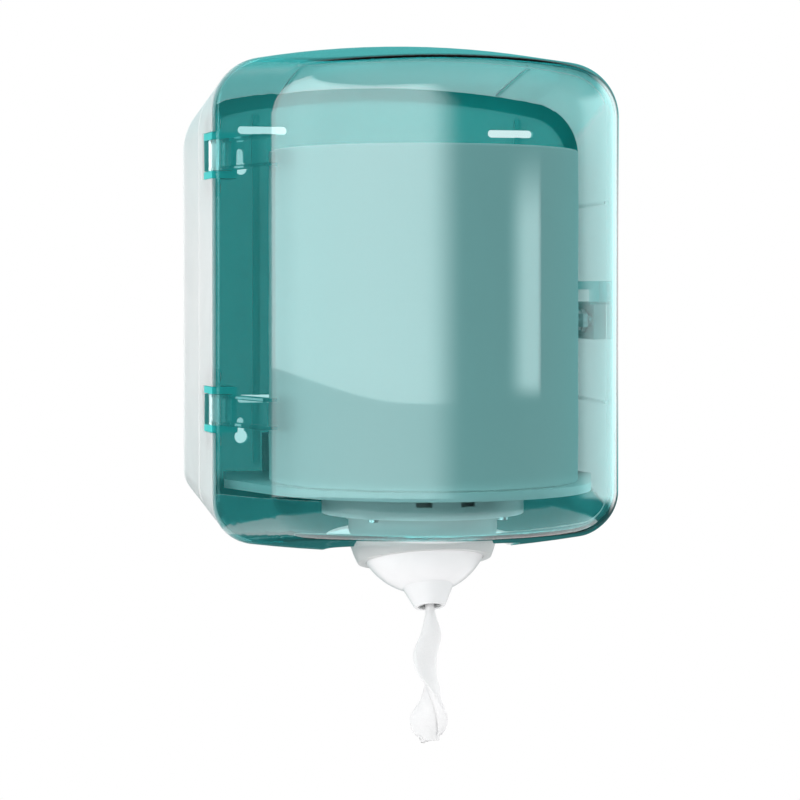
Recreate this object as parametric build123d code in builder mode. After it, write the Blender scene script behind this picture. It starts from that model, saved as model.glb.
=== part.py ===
from build123d import *
import os
from math import atan2, cos, degrees, radians, sin, sqrt, tan

os.makedirs("parts", exist_ok=True)

# Wall-mounted centre-feed paper towel dispenser, in millimetres
# The wall is the plane Y = 0 and the front looks along -Y
# The origin is the centre of the four wall keyholes
# A depth is a distance in front of the wall

# Roll that the case is made round, and the room left behind it, in front of it and beside it
roll_radius = 91.5
roll_height = 194.5
roll_bore_radius = 20.0
roll_edge_radius = 1.5
roll_rear_gap = 10.5
roll_front_gap = 17.5
roll_side_room = 32.5

# Case outline at the wall and at the parting plane where the cover begins
rear_flare = 5.0
rear_top = 138.0
rear_bottom = -129.0
rear_top_radius = 38.0
rear_bottom_radius = 18.0
parting_top = 153.0
parting_bottom = -149.0
parting_depth = 85.0
parting_gap = 1.2
top_corner_radius = 32.0
bottom_corner_radius = 26.0
top_crown = 14.0
bottom_crown = 10.0
case_wall = 3.0
lip_width = 8.0
lip_thickness = 2.0
groove_depth = 46.0
groove_width = 1.6
groove_cut = 1.0
wall_rib_height = 61.0
wall_rib_rise = 1.6
wall_rib_width = 2.0
wall_rib_rear = 9.0
ceiling_rib_place = 70.0

# Cover
cover_wall = 3.0
side_taper = 16.5
front_radius = 310.0
front_corner_radius = 75.0
top_fall = 7.5
bottom_rise = 8.6

# Back plate with its keyholes and strap slots
plate_depth = 5.0
plate_clearance = 0.3
keyhole_pitch_x = 186.0
keyhole_pitch_z = 167.0
keyhole_head_radius = 4.25
keyhole_slot_radius = 2.3
keyhole_drop = 9.6
strap_slot_length = 30.0
strap_slot_height = 5.0
strap_slot_place = 80.0
strap_slot_above = 23.5
plate_rib_place = 84.0
plate_rib_width = 4.0
plate_rib_rise = 2.5
plate_rib_top = 116.0
plate_rib_bottom = -100.0

# Hinge on the left side
arm_height = 18.0
upper_arm_centre = 87.0
lower_arm_centre = -63.0
arm_length = 62.0
arm_web = 2.4
arm_flange = 9.0
arm_flange_thickness = 2.0
knuckle_radius = 5.5
knuckle_setback = 16.5
pin_radius = 2.0
pin_clearance = 0.06
press_clearance = 0.02
ear_thickness = 4.2
ear_gap = 0.3
bracket_length = 22.0
bracket_behind_pin = 6.5
bracket_web = 3.0
bracket_mouth = 9.5
bracket_foot_height = 11.0
bracket_foot_thickness = 3.0
pocket_clearance = 0.3
pocket_swing_room = 2.5

# Lock on the right side
lock_height = -11.0
case_block_gap = 3.0
case_block_ahead = 20.0
case_block_behind = 43.0
case_block_height = 23.0
case_block_width = 12.0
barrel_radius = 7.0
barrel_clearance = 0.1
barrel_wall_clearance = 0.5
bezel_radius = 9.0
bezel_thickness = 1.4
bezel_gap = 0.3
key_slot_length = 8.0
key_slot_width = 1.8
key_slot_depth = 4.0
cam_thickness = 3.0
cam_length = 17.0
cam_half_width = 4.0
cam_hub_radius = 6.0
cam_case_gap = 3.0
strike_thickness = 4.0
strike_bar_height = 5.0
strike_gap = 1.0
strike_hook_length = 6.5
strike_base_setback = 7.0
strike_base_length = 22.0
strike_base_drop = 9.0

# Tray under the roll
tray_top = -105.0
tray_thickness = 3.0
tray_margin = 7.5
tray_side_gap = 10.0
tray_wide_depth = 70.0
tray_rear_inset = 10.0
tray_skirt_height = 5.0
tray_skirt_thickness = 2.5
tray_hole_radius = 34.0
tray_upstand_height = 24.0
tray_upstand_half_width = 80.0
tray_rib_place = 73.0
tray_screw_place = 70.0
tray_screw_rise = 14.0

# Nozzle housing under the tray
nozzle_setback = 4.0
housing_room = 12.0
housing_wall = 2.5
housing_height = 16.5
housing_floor = 2.5
housing_boss_radius = 3.4
housing_boss_count = 4
housing_boss_bearing = 45.0
window_width = 9.0
window_height = 4.5
window_place = 13.0
funnel_flange = 2.0
funnel_wall = 1.8
funnel_outlet_radius = 24.0
funnel_drop = 11.0
funnel_seat_gap = 0.3

# Nozzle collar and ball
ball_centre_height = -133.0
ball_radius = 40.0
ball_wall = 2.5
ball_gap = 0.3
ball_rim = -6.0
ball_tilt = 22.0
collar_wall = 4.0
collar_tilt = 15.0
collar_rim = 20.0
collar_flange_radius = 48.0
collar_flange_thickness = 2.3
collar_neck_radius = 46.0
collar_neck_clearance = 0.3
collar_flange_gap = 0.2
collar_neck_end = -128.0
collar_blank = 36.0
notch_clearance = 12.0

# Nozzle outlet, paper brake and the hanging paper
outlet_top_radius = 15.0
outlet_tip_radius = 9.0
outlet_tip = 49.0
outlet_bore_radius = 7.0
outlet_spigot_radius = 11.0
outlet_spigot_wall = 1.5
outlet_spigot_rise = 3.0
seat_gap = 0.05
brake_length = 4.5
brake_inset = 0.6
brake_ring = 1.0
brake_tooth_length = 2.0
brake_tooth_width = 1.4
brake_tooth_count = 6
tail_length = 80.0
tail_width = 17.0
tail_thickness = 8.0
tail_neck = 5.4
tail_neck_thickness = 3.6
tail_start = 36.0
tail_lean = 2.6
tail_valley_share = 0.3
# Down the tail: shares of its length, width, thickness and shift in widths, then its turn in degrees
tail_shares = (
    (0.07, 0.42, 0.6, 0.0, 5),
    (0.2, 0.78, 0.75, 0.0, 12),
    (0.33, 1.0, 0.85, -0.14, 25),
    (0.46, 1.0, 0.95, -0.12, 55),
    (0.57, 0.95, 1.0, 0.0, 85),
    (0.68, 0.95, 1.0, 0.03, 120),
    (0.81, 1.25, 0.85, -0.1, 160),
    (0.93, 1.0, 0.6, -0.08, 178),
    (1.0, 0.55, 0.35, -0.05, 185),
)
feed_radius = 4.5
feed_rise = 62.0
feed_end = 11.0
# Down the feed: shares of its rise, of its way out to the bore wall and of its way to the nozzle axis
feed_shares = (
    (1.0, 1.0, 0.0),
    (0.5, 0.72, 0.0),
    (0.0, 0.25, 0.5),
)

# Screws
screw_head_radius = 3.2
screw_head_height = 2.2
screw_radius = 1.5
screw_clearance = 0.05
screw_end_gap = 0.6

# One overrun serves every cut
overrun = 5.0


def place(x, depth, z):
    """A point from its side, its distance in front of the wall and its height."""
    return (x, -depth, z)


def between(at_wall, at_parting, depth):
    """A case size that runs evenly from the wall to the parting plane."""
    return at_wall + (at_parting - at_wall) * depth / parting_depth


def case_half_width(depth):
    return between(rear_half_width, parting_half_width, depth)


def cover_half_width(depth):
    return parting_half_width - (depth - parting_depth) * tan(radians(side_taper))


def case_section(depth, inset):
    """The upright outline of the case at one depth: straight sides, an arched top and an arched bottom."""
    half_width = case_half_width(depth) - inset
    top = between(rear_top, parting_top, depth) - inset
    bottom = between(rear_bottom, parting_bottom, depth) + inset
    high_corner = top - top_crown
    low_corner = bottom + bottom_crown
    top_radius = between(rear_top_radius, top_corner_radius, depth) - inset
    bottom_radius = between(rear_bottom_radius, bottom_corner_radius, depth) - inset
    with BuildSketch(Plane.XZ.offset(depth)) as section:
        with BuildLine():
            ThreePointArc((-half_width, low_corner), (0, bottom), (half_width, low_corner))
            Line((half_width, low_corner), (half_width, high_corner))
            ThreePointArc((half_width, high_corner), (0, top), (-half_width, high_corner))
            Line((-half_width, high_corner), (-half_width, low_corner))
        make_face()
        fillet(section.vertices().group_by(Axis.Y)[-1], top_radius)
        fillet(section.vertices().group_by(Axis.Y)[0], bottom_radius)
    return section.sketch


def arched_edge(rise):
    """The arch of a rise over the parting width, widened by the overrun: half width and end drop."""
    radius = (parting_half_width**2 + rise**2) / (2 * rise)
    half_width = parting_half_width + overrun
    return half_width, radius - sqrt(radius**2 - half_width**2)


def add_screws(seats, length):
    """Pan-head screws: each seat is a plane on the clamped face, with its normal towards the head."""
    for seat in seats:
        with BuildSketch(seat) as head:
            Circle(screw_head_radius)
        extrude(head.sketch, amount=screw_head_height)
        with BuildSketch(seat) as shank:
            Circle(screw_radius)
        extrude(shank.sketch, amount=-length)


def cut_screw_holes(seats, length):
    """The holes of those screws, from their seats inwards."""
    for seat in seats:
        with BuildSketch(seat) as hole:
            Circle(screw_radius + screw_clearance)
        extrude(hole.sketch, amount=-length, mode=Mode.SUBTRACT)


def save(piece, name):
    """Labels a finished piece and writes its file."""
    piece.part.label = name
    export_step(piece.part, f"parts/{name}.step")


# Places worked out from the sizes above
parting_half_width = roll_radius + roll_side_room
rear_half_width = parting_half_width + rear_flare
roll_depth = roll_rear_gap + roll_radius
cover_depth = roll_depth + roll_radius + roll_front_gap + cover_wall
case_block_face = parting_half_width - case_block_width
tray_radius = roll_radius + tray_margin
tray_half_width = parting_half_width - tray_side_gap
tray_rear_half_width = tray_half_width - tray_rear_inset
nozzle_depth = roll_depth - nozzle_setback
housing_radius = collar_flange_radius + housing_room
case_block_front = parting_depth - case_block_gap
lock_depth = case_block_front - case_block_ahead
case_block_rear = lock_depth - case_block_behind
strike_base_rear = parting_depth + strike_base_setback
strike_base_front = strike_base_rear + strike_base_length
shell_depth = parting_depth - parting_gap
taper_sin = sin(radians(side_taper))
taper_cos = cos(radians(side_taper))
wall_lean = degrees(atan2(rear_half_width - parting_half_width, parting_depth))
arm_centres = {"upper": upper_arm_centre, "lower": lower_arm_centre}

# Hinge frame on the inner face of the cover's left side: x forward, y inward, z up
hinge_face_side = -parting_half_width + cover_wall * taper_cos
hinge_face_depth = parting_depth - cover_wall * taper_sin
pivot_side = hinge_face_side - knuckle_setback * taper_sin + knuckle_radius * taper_cos
pivot_depth = hinge_face_depth - knuckle_setback * taper_cos - knuckle_radius * taper_sin
bracket_half_height = arm_height / 2 + ear_gap + ear_thickness
bracket_rear = pivot_depth - bracket_behind_pin
bracket_front = bracket_rear + bracket_length
bracket_face = pivot_side + bracket_mouth

# Inner face of the left case wall, with its normal pointing into the case
left_wall_normal = Vector(cos(radians(wall_lean)), sin(radians(wall_lean)), 0)
left_wall_back = Vector(-sin(radians(wall_lean)), cos(radians(wall_lean)), 0)


def hinge_plane(height):
    """The arm's plane at a height: origin on the cover's inner face, x forward along it, y into the cover."""
    return Plane(
        origin=place(hinge_face_side, hinge_face_depth, height),
        x_dir=(taper_sin, -taper_cos, 0),
        z_dir=(0, 0, 1),
    )


def bracket_seats(centre):
    """Screw seats on the two feet of a hinge bracket, which lie on the left case wall."""
    middle = (bracket_rear + bracket_front) / 2
    side = -case_half_width(middle) + case_wall
    rise = bracket_half_height + bracket_foot_height / 2
    seats = []
    for way in (-1, 1):
        foot = place(side, middle, centre + way * rise)
        wall = Plane(origin=foot, x_dir=left_wall_back, z_dir=left_wall_normal)
        seats.append(wall.offset(bracket_foot_thickness))
    return seats


bracket_screw_length = bracket_foot_thickness + case_wall - screw_end_gap
all_bracket_seats = bracket_seats(upper_arm_centre) + bracket_seats(lower_arm_centre)

# Lock places
lock_seats = []
lock_screw_lengths = []
for seat_depth in (case_block_rear + 2 * screw_head_radius, case_block_front - 2 * screw_head_radius):
    lock_seats.append(Plane(origin=place(case_block_face, seat_depth, lock_height), z_dir=(-1, 0, 0)))
    lock_screw_lengths.append(case_half_width(seat_depth) - case_block_face - screw_end_gap)
cam_front_face = case_block_face - cam_case_gap
cam_rear_face = cam_front_face - cam_thickness
barrel_face = case_half_width(lock_depth - bezel_radius) + bezel_gap
cam_seats = [Plane(origin=place(cam_rear_face, lock_depth, lock_height), z_dir=(-1, 0, 0))]
cam_screw_length = cam_thickness + barrel_radius

# Tray and housing places
tray_underside = tray_top - tray_thickness
housing_bottom = tray_underside - housing_height
housing_floor_top = housing_bottom + housing_floor
boss_ring = housing_radius - housing_wall - housing_boss_radius + funnel_seat_gap
upstand_face = plate_depth + tray_thickness
tray_seats = []
for side in (-1, 1):
    tray_seat = place(side * tray_screw_place, upstand_face, tray_top + tray_screw_rise)
    tray_seats.append(Plane(origin=tray_seat, z_dir=(0, -1, 0)))
tray_screw_length = upstand_face - screw_end_gap
housing_seats = []
for turn in range(housing_boss_count):
    bearing = radians(housing_boss_bearing + 360 / housing_boss_count * turn)
    housing_seats.append(
        Plane(
            origin=place(boss_ring * cos(bearing), nozzle_depth + boss_ring * sin(bearing), housing_bottom),
            z_dir=(0, 0, -1),
        )
    )
housing_screw_length = tray_top - housing_bottom - screw_end_gap

# Nozzle places
ball_centre = Vector(*place(0, nozzle_depth, ball_centre_height))
ball_up = Vector(0, sin(radians(ball_tilt)), cos(radians(ball_tilt)))
ball_plane = Plane(origin=ball_centre, x_dir=(1, 0, 0), z_dir=Vector(1, 0, 0).cross(ball_up))
ball_axis = Axis(ball_centre, ball_up)
collar_up = Vector(0, sin(radians(collar_tilt)), cos(radians(collar_tilt)))
nozzle_axis = Axis(place(0, nozzle_depth, 0), (0, 0, 1))
nozzle_plane = Plane(origin=place(0, nozzle_depth, 0), x_dir=(1, 0, 0), z_dir=(0, -1, 0))
collar_radius = ball_radius + ball_gap + collar_wall
notch_radius = collar_neck_radius + notch_clearance


def nozzle_notch(height, depth, reach):
    """The rounded way for the nozzle through a bottom wall, open towards the parting plane."""
    with BuildSketch(Plane.XY.offset(height)) as way:
        with Locations((0, -nozzle_depth)):
            Circle(notch_radius)
        with Locations((0, -(nozzle_depth + depth) / 2)):
            Rectangle(2 * notch_radius, abs(depth - nozzle_depth))
    extrude(way.sketch, amount=reach, mode=Mode.SUBTRACT)


# White rear shell: a ring that flares from the wall to the parting plane, with a lip behind the back plate
groove_end = groove_depth + groove_width
with BuildPart() as rear_shell:
    loft([case_section(0, 0), case_section(groove_depth, 0)], ruled=True)
    loft([case_section(groove_depth, groove_cut), case_section(groove_end, groove_cut)], ruled=True)
    loft([case_section(groove_end, 0), case_section(shell_depth, 0)], ruled=True)
    loft(
        [case_section(lip_thickness, case_wall), case_section(parting_depth, case_wall)],
        ruled=True,
        mode=Mode.SUBTRACT,
    )
    extrude(case_section(0, case_wall + lip_width), amount=lip_thickness, mode=Mode.SUBTRACT)
    # Ribs along the right wall and the ceiling
    rib_front = shell_depth - wall_rib_width
    rib_wall_rear = case_half_width(wall_rib_rear) - case_wall
    rib_wall_front = case_half_width(rib_front) - case_wall
    for height in (-wall_rib_height, wall_rib_height):
        with BuildSketch(Plane.XY.offset(height - wall_rib_width / 2)):
            with BuildLine():
                Polyline(
                    (rib_wall_rear + case_wall / 2, -wall_rib_rear),
                    (rib_wall_front + case_wall / 2, -rib_front),
                    (rib_wall_front - wall_rib_rise, -rib_front),
                    (rib_wall_rear - wall_rib_rise, -wall_rib_rear),
                    close=True,
                )
            make_face()
        extrude(amount=wall_rib_width)
    ceiling_drop = case_wall + top_crown * (ceiling_rib_place / parting_half_width) ** 2
    ceiling_rear = between(rear_top, parting_top, wall_rib_rear) - ceiling_drop
    ceiling_front = between(rear_top, parting_top, rib_front) - ceiling_drop
    for side in (-1, 1):
        with BuildSketch(Plane.YZ.offset(side * ceiling_rib_place - wall_rib_width / 2)):
            with BuildLine():
                Polyline(
                    (-wall_rib_rear, ceiling_rear + case_wall / 2),
                    (-rib_front, ceiling_front + case_wall / 2),
                    (-rib_front, ceiling_front - wall_rib_rise),
                    (-wall_rib_rear, ceiling_rear - wall_rib_rise),
                    close=True,
                )
            make_face()
        extrude(amount=wall_rib_width)
    # Hinge pockets in the left wall, open to the parting plane
    pocket_outer = -rear_half_width - overrun
    pocket_inner = -parting_half_width + case_wall + overrun
    pocket_rear = bracket_rear - pocket_clearance - pocket_swing_room
    for centre in arm_centres.values():
        with Locations(place((pocket_outer + pocket_inner) / 2, (pocket_rear + parting_depth) / 2, centre)):
            Box(
                pocket_inner - pocket_outer,
                parting_depth - pocket_rear,
                2 * (bracket_half_height + pocket_clearance),
                mode=Mode.SUBTRACT,
            )
    cut_screw_holes(all_bracket_seats, bracket_screw_length)
    # Ways for the lock barrel and the nozzle
    with BuildSketch(Plane.YZ.offset(case_block_face)):
        with Locations((-lock_depth, lock_height)):
            Circle(barrel_radius + barrel_wall_clearance)
    extrude(amount=rear_half_width - case_block_face + overrun, mode=Mode.SUBTRACT)
    for seat, length in zip(lock_seats, lock_screw_lengths):
        cut_screw_holes([seat], length)
    nozzle_notch(parting_bottom - overrun, parting_depth, tray_underside - parting_bottom)
save(rear_shell, "rear_shell")

# Back plate: rebated behind for the shell's lip, with keyholes, strap slots and two upright ribs
rib_height = plate_rib_top - plate_rib_bottom
with BuildPart() as back_plate:
    extrude(case_section(lip_thickness, case_wall + plate_clearance), amount=plate_depth - lip_thickness)
    extrude(case_section(0, case_wall + lip_width + plate_clearance), amount=lip_thickness)
    for side in (-1, 1):
        with Locations(
            place(
                side * plate_rib_place,
                plate_depth + plate_rib_rise / 2,
                (plate_rib_top + plate_rib_bottom) / 2,
            )
        ):
            Box(plate_rib_width, plate_rib_rise, rib_height)
    with BuildSketch(Plane.XZ):
        for side in (-1, 1):
            for level in (-1, 1):
                keyhole_x = side * keyhole_pitch_x / 2
                keyhole_z = level * keyhole_pitch_z / 2
                with Locations((keyhole_x, keyhole_z)):
                    Circle(keyhole_head_radius)
                with Locations((keyhole_x, keyhole_z + keyhole_drop / 2)):
                    SlotCenterToCenter(keyhole_drop, 2 * keyhole_slot_radius, rotation=90)
                with Locations((side * strap_slot_place, keyhole_z + strap_slot_above)):
                    SlotOverall(strap_slot_length, strap_slot_height)
    extrude(amount=plate_depth + plate_rib_rise, mode=Mode.SUBTRACT)
    cut_screw_holes(tray_seats, tray_screw_length)
save(back_plate, "back_plate")


def hinge_bracket(centre):
    """A fork through the left case wall that holds one hinge pin, with two feet screwed to the wall."""
    middle = (bracket_rear + bracket_front) / 2
    with BuildPart() as bracket:
        with BuildSketch(Plane.XY.offset(centre - bracket_half_height)):
            with BuildLine():
                Polyline(
                    (bracket_face + bracket_web, -bracket_rear),
                    (bracket_face + bracket_web, -bracket_front),
                    (pocket_clearance - case_half_width(bracket_front), -bracket_front),
                    (pocket_clearance - case_half_width(bracket_rear), -bracket_rear),
                    close=True,
                )
            make_face()
        extrude(amount=2 * bracket_half_height)
        for seat in bracket_seats(centre):
            with BuildSketch(seat):
                Rectangle(bracket_length, bracket_foot_height)
            extrude(amount=-bracket_foot_thickness)
        mouth_outer = -rear_half_width - overrun
        with Locations(place((mouth_outer + bracket_face) / 2, middle, centre)):
            Box(
                bracket_face - mouth_outer,
                bracket_length + overrun,
                arm_height + 2 * ear_gap,
                mode=Mode.SUBTRACT,
            )
        with BuildSketch(Plane.XY.offset(centre - bracket_half_height)):
            with Locations((pivot_side, -pivot_depth)):
                Circle(pin_radius + press_clearance)
        extrude(amount=2 * bracket_half_height, mode=Mode.SUBTRACT)
        cut_screw_holes(bracket_seats(centre), bracket_foot_thickness)
    return bracket


def hinge_arm(centre):
    """A channel-shaped arm on the inner face of the cover's left side, with a knuckle round the pin."""
    low = centre - arm_height / 2
    with BuildPart() as arm:
        with BuildSketch(hinge_plane(low)):
            with Locations((-knuckle_setback, knuckle_radius)):
                Circle(knuckle_radius)
            with Locations(((arm_length - knuckle_setback) / 2, arm_web / 2)):
                Rectangle(arm_length + knuckle_setback, arm_web)
        extrude(amount=arm_height)
        for height in (low, low + arm_height - arm_flange_thickness):
            with BuildSketch(hinge_plane(height)):
                with Locations(((arm_length - knuckle_setback) / 2, arm_flange / 2)):
                    Rectangle(arm_length + knuckle_setback, arm_flange)
            extrude(amount=arm_flange_thickness)
        with BuildSketch(hinge_plane(low)):
            with Locations((-knuckle_setback, knuckle_radius)):
                Circle(pin_radius + pin_clearance)
        extrude(amount=arm_height, mode=Mode.SUBTRACT)
    return arm


for level, centre in arm_centres.items():
    save(hinge_bracket(centre), f"hinge_bracket_{level}")
    save(hinge_arm(centre), f"hinge_arm_{level}")

# Two hinge pins, each pressed into the ears of its bracket
with BuildPart() as hinge_pins:
    for centre in arm_centres.values():
        with BuildSketch(Plane.XY.offset(centre - bracket_half_height)):
            with Locations((pivot_side, -pivot_depth)):
                Circle(pin_radius)
        extrude(amount=2 * bracket_half_height)
save(hinge_pins, "hinge_pins")

with BuildPart() as bracket_screws:
    add_screws(all_bracket_seats, bracket_screw_length)
save(bracket_screws, "bracket_screws")

# Clear cover: tapered sides, a bowed front, a falling top and a rising bottom, hollowed from behind
side_slope = tan(radians(side_taper))
side_start = parting_half_width + side_slope * parting_depth
bow_centre = cover_depth - front_radius
bow_mean = (side_start * side_slope + bow_centre) / (1 + side_slope**2)
bow_rest = (side_start**2 + bow_centre**2 - front_radius**2) / (1 + side_slope**2)
corner_depth = bow_mean + sqrt(bow_mean**2 - bow_rest)
corner_side = cover_half_width(corner_depth)
cover_low = parting_bottom - overrun
cover_high = parting_top + overrun
top_span, top_end_drop = arched_edge(top_crown)
bottom_span, bottom_end_rise = arched_edge(bottom_crown)
with BuildPart() as cover_shell:
    with BuildSketch(Plane.XY.offset(cover_low)) as plan:
        with BuildLine():
            Line((-parting_half_width, -parting_depth), (parting_half_width, -parting_depth))
            Line((parting_half_width, -parting_depth), (corner_side, -corner_depth))
            ThreePointArc((corner_side, -corner_depth), (0, -cover_depth), (-corner_side, -corner_depth))
            Line((-corner_side, -corner_depth), (-parting_half_width, -parting_depth))
        make_face()
        fillet(plan.vertices().group_by(Axis.Y)[0], front_corner_radius)
    extrude(amount=cover_high - cover_low)
    with BuildSketch(Plane.XZ.offset(parting_depth)):
        with BuildLine():
            Line((-top_span, 2 * cover_low), (top_span, 2 * cover_low))
            Line((top_span, 2 * cover_low), (top_span, parting_top - top_end_drop))
            ThreePointArc(
                (top_span, parting_top - top_end_drop),
                (0, parting_top),
                (-top_span, parting_top - top_end_drop),
            )
            Line((-top_span, parting_top - top_end_drop), (-top_span, 2 * cover_low))
        make_face()
    fall = radians(top_fall)
    extrude(amount=cover_depth, dir=(0, -cos(fall), -sin(fall)), mode=Mode.INTERSECT)
    with BuildSketch(Plane.XZ.offset(parting_depth)):
        with BuildLine():
            Line((-bottom_span, 2 * cover_high), (bottom_span, 2 * cover_high))
            Line((bottom_span, 2 * cover_high), (bottom_span, parting_bottom + bottom_end_rise))
            ThreePointArc(
                (bottom_span, parting_bottom + bottom_end_rise),
                (0, parting_bottom),
                (-bottom_span, parting_bottom + bottom_end_rise),
            )
            Line((-bottom_span, parting_bottom + bottom_end_rise), (-bottom_span, 2 * cover_high))
        make_face()
    rise = radians(bottom_rise)
    extrude(amount=cover_depth, dir=(0, -cos(rise), sin(rise)), mode=Mode.INTERSECT)
    fillet(cover_shell.faces().sort_by(Axis.Z)[-1].edges().sort_by(Axis.Y)[:-1], top_corner_radius)
    fillet(cover_shell.faces().sort_by(Axis.Z)[0].edges().sort_by(Axis.Y)[:-1], bottom_corner_radius)
    offset(amount=-cover_wall, openings=cover_shell.faces().sort_by(Axis.Y)[-1])
    nozzle_notch(cover_low, parting_depth - overrun, tray_underside - cover_low)
save(cover_shell, "cover_shell")

# Lock case on the inner face of the right wall, with its two screws
with BuildPart() as lock_case:
    with BuildSketch(Plane.XY.offset(lock_height - case_block_height / 2)):
        with BuildLine():
            Polyline(
                (case_block_face, -case_block_rear),
                (case_block_face, -case_block_front),
                (case_half_width(case_block_front) - case_wall, -case_block_front),
                (case_half_width(case_block_rear) - case_wall, -case_block_rear),
                close=True,
            )
        make_face()
    extrude(amount=case_block_height)
    with BuildSketch(Plane.YZ.offset(case_block_face)):
        with Locations((-lock_depth, lock_height)):
            Circle(barrel_radius + barrel_clearance)
    extrude(amount=rear_half_width - case_block_face, mode=Mode.SUBTRACT)
    for seat, length in zip(lock_seats, lock_screw_lengths):
        cut_screw_holes([seat], length)
save(lock_case, "lock_case")

with BuildPart() as lock_screws:
    for seat, length in zip(lock_seats, lock_screw_lengths):
        add_screws([seat], length)
save(lock_screws, "lock_screws")

# Lock barrel: a bezel and key slot outside the right wall, and a flat inner end that carries the cam
with BuildPart() as lock_barrel:
    with BuildSketch(Plane.YZ.offset(cam_front_face)):
        with Locations((-lock_depth, lock_height)):
            Circle(barrel_radius)
    extrude(amount=barrel_face - cam_front_face)
    with BuildSketch(Plane.YZ.offset(barrel_face)):
        with Locations((-lock_depth, lock_height)):
            Circle(bezel_radius)
    extrude(amount=bezel_thickness)
    with BuildSketch(Plane.YZ.offset(barrel_face + bezel_thickness)):
        with Locations((-lock_depth, lock_height)):
            Rectangle(key_slot_length, key_slot_width)
    extrude(amount=-key_slot_depth, mode=Mode.SUBTRACT)
    cut_screw_holes(cam_seats, cam_screw_length)
save(lock_barrel, "lock_barrel")

# Cam: points forward when unlocked and turns up in front of the cover's hook
with BuildPart() as lock_cam:
    with BuildSketch(Plane.YZ.offset(cam_rear_face)):
        with Locations((-lock_depth, lock_height)):
            Circle(cam_hub_radius)
        with Locations((-lock_depth - cam_length / 2, lock_height)):
            Rectangle(cam_length, 2 * cam_half_width)
    extrude(amount=cam_thickness)
    cut_screw_holes(cam_seats, cam_screw_length)
save(lock_cam, "lock_cam")

with BuildPart() as cam_screw:
    add_screws(cam_seats, cam_screw_length)
save(cam_screw, "cam_screw")

# Strike on the cover's right side: a wedge, a bar into the case and a hook behind the turned cam
strike_face = cam_rear_face - (strike_thickness - cam_thickness) / 2
strike_bar_low = lock_height + cam_length + 2 * strike_gap
strike_bar_high = strike_bar_low + strike_bar_height
hook_front = lock_depth - cam_half_width - strike_gap
hook_rear = hook_front - strike_hook_length
hook_low = lock_height + cam_hub_radius + strike_gap
strike_wall = cover_wall / taper_cos
with BuildPart() as cover_strike:
    with BuildSketch(Plane.XY.offset(strike_bar_low - strike_base_drop)):
        with BuildLine():
            Polyline(
                (strike_face, -strike_base_rear),
                (strike_face, -strike_base_front),
                (cover_half_width(strike_base_front) - strike_wall, -strike_base_front),
                (cover_half_width(strike_base_rear) - strike_wall, -strike_base_rear),
                close=True,
            )
        make_face()
    extrude(amount=strike_base_drop + strike_bar_height)
    with BuildSketch(Plane.YZ.offset(strike_face)):
        with BuildLine():
            Polyline(
                (-hook_rear, hook_low),
                (-hook_front, hook_low),
                (-hook_front, strike_bar_low),
                (-strike_base_front, strike_bar_low),
                (-strike_base_front, strike_bar_high),
                (-hook_rear, strike_bar_high),
                close=True,
            )
        make_face()
    extrude(amount=strike_thickness)
save(cover_strike, "cover_strike")


def tray_outline(height, inset):
    """The tray's plan at a height: a round front under the roll, running back to the plate's width."""
    with BuildSketch(Plane.XY.offset(height)) as outline:
        with Locations((0, -roll_depth)):
            Circle(tray_radius - inset)
        with BuildLine():
            Polyline(
                (tray_rear_half_width - inset, -plate_depth - inset),
                (tray_half_width - inset, -tray_wide_depth),
                (inset - tray_half_width, -tray_wide_depth),
                (inset - tray_rear_half_width, -plate_depth - inset),
                close=True,
            )
        make_face()
        make_hull(outline.edges())
        Rectangle(2 * tray_half_width, 2 * (plate_depth + inset), mode=Mode.SUBTRACT)
    return outline.sketch


# Roll tray: a shelf with a skirt, ribs, a round way for the paper and an upstand on the back plate
with BuildPart() as roll_tray:
    extrude(tray_outline(tray_top, 0), amount=-tray_skirt_height)
    extrude(
        tray_outline(tray_underside, tray_skirt_thickness),
        amount=tray_thickness - tray_skirt_height,
        mode=Mode.SUBTRACT,
    )
    for side in (-1, 1):
        with Locations(
            place(
                side * tray_rib_place,
                roll_depth - (roll_depth - upstand_face) / 2,
                tray_top - tray_skirt_height / 2,
            )
        ):
            Box(tray_skirt_thickness, roll_depth - upstand_face, tray_skirt_height)
    with Locations(place(0, (plate_depth + upstand_face) / 2, tray_top + tray_upstand_height / 2)):
        Box(2 * tray_upstand_half_width, upstand_face - plate_depth, tray_upstand_height)
    with BuildSketch(Plane.XY.offset(tray_top)):
        with Locations((0, -nozzle_depth)):
            Circle(tray_hole_radius)
    extrude(amount=-tray_thickness, mode=Mode.SUBTRACT)
    cut_screw_holes(tray_seats, tray_screw_length)
    cut_screw_holes(housing_seats, housing_screw_length)
save(roll_tray, "roll_tray")

with BuildPart() as tray_screws:
    add_screws(tray_seats, tray_screw_length)
save(tray_screws, "tray_screws")

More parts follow.
